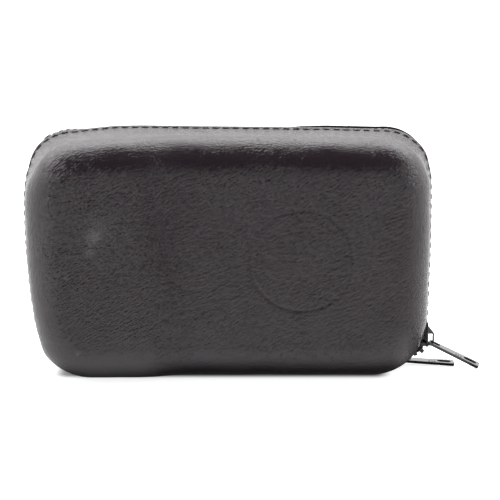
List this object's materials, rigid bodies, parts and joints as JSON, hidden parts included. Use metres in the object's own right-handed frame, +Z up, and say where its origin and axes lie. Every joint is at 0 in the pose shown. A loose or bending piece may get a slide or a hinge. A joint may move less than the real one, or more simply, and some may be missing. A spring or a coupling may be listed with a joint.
{
  "type": "zipped camera case",
  "caption": "Small moulded leather camera case with a leather hinge, a round zip with two sliders, and a belt loop.",
  "frame": {"origin": "on the floor, under the middle of the case's width, in the plane of the zip", "axes": "+X to the right along the case's long side, away from the hinge; +Y to the back, towards the belt loop; +Z up"},
  "size_m": [0.1598, 0.0558, 0.0855],
  "materials": {
    "case_leather": "black grained leather, satin",
    "hinge_leather": "black leather, matt",
    "leather_board": "pressed fibre board",
    "lining_cloth": "short napped lining",
    "zip_tape": "woven tape",
    "zip_teeth": "moulded, satin",
    "zip_stops": "moulded, satin",
    "slider_metal": "black enamelled die-cast metal",
    "tab_metal": "gunmetal plated, satin"
  },
  "bodies": {
    "rear_half": {"rear_cover": "case_leather", "rear_board": "leather_board", "rear_lining": "lining_cloth", "rear_zip_tape": "zip_tape", "rear_zip_teeth": "zip_teeth", "rear_zip_stops": "zip_stops", "rear_hinge_leaf": "hinge_leather", "belt_loop": "case_leather"},
    "front_half": {"front_cover": "case_leather", "front_board": "leather_board", "front_lining": "lining_cloth", "front_zip_tape": "zip_tape", "front_zip_teeth": "zip_teeth", "front_zip_stops": "zip_stops", "front_hinge_leaf": "hinge_leather"},
    "upper_slider": {"upper_slider_body": "slider_metal", "upper_slider_crown": "slider_metal"},
    "upper_tab": {"upper_pull_tab": "tab_metal"},
    "lower_slider": {"lower_slider_body": "slider_metal", "lower_slider_crown": "slider_metal"},
    "lower_tab": {"lower_pull_tab": "tab_metal"}
  },
  "joints": [
    {"name": "lid_hinge", "type": "hinge", "parent": "rear_half", "child": "front_half", "pos_m": [-0.06865, 0, 0.0445], "axis": [0, 0, -1], "range_deg": [0, 120]},
    {"name": "upper_slider_run", "type": "slide", "parent": "rear_half", "child": "upper_slider", "axis": [0, 0, 1], "range_m": [0, 0.05], "deforming": ["front_zip_teeth", "rear_zip_teeth"]},
    {"name": "upper_tab_swing", "type": "hinge", "parent": "upper_slider", "child": "upper_tab", "pos_m": [0.0715, 0, 0.00822], "axis": [-0.2079, -0.9781, 0], "range_deg": [0, 85]},
    {"name": "lower_slider_run", "type": "slide", "parent": "rear_half", "child": "lower_slider", "axis": [-1, 0, 0], "range_m": [0, 0.105]},
    {"name": "lower_tab_swing", "type": "hinge", "parent": "lower_slider", "child": "lower_tab", "pos_m": [0.06118, 0, 0.00175], "axis": [0, 1, 0], "range_deg": [-4, 140]}
  ]
}
